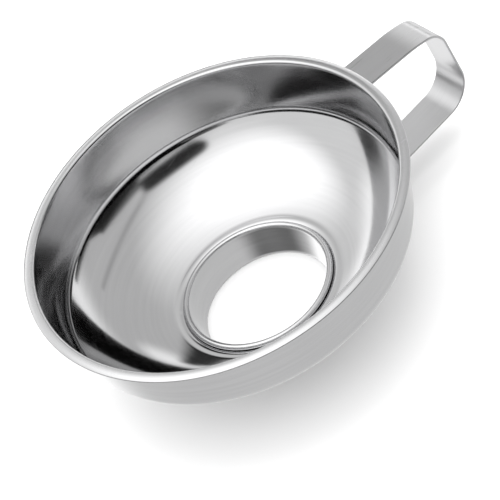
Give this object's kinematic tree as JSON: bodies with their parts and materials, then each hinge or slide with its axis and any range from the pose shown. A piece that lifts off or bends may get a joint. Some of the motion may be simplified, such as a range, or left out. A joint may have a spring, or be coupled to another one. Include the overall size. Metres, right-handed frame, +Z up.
{
  "type": "canning funnel",
  "caption": "Wide-mouth steel funnel with a flanged rim, dished floor, short tapered spout and a strap loop handle, for filling jars.",
  "frame": {"origin": "on the funnel's axis, in the plane of the spout's open end", "axes": "+Z up along the funnel's axis from the spout to the rim; +X from the axis towards the handle, which lies in the plane y = 0"},
  "size_m": [0.1722, 0.14, 0.0525],
  "materials": {
    "bowl_steel": "mirror-polished stainless steel with faint spin lines",
    "spout_steel": "polished stainless steel tube",
    "handle_steel": "satin-polished stainless steel strip",
    "weld_metal": "weld metal, lightly heat-tinted"
  },
  "bodies": {
    "root": {"bowl": "bowl_steel", "spout": "spout_steel", "handle": "handle_steel", "spout_seam_weld": "weld_metal", "handle_weld_upper_left": "weld_metal", "handle_weld_upper_right": "weld_metal", "handle_weld_lower_left": "weld_metal", "handle_weld_lower_right": "weld_metal"}
  },
  "joints": []
}
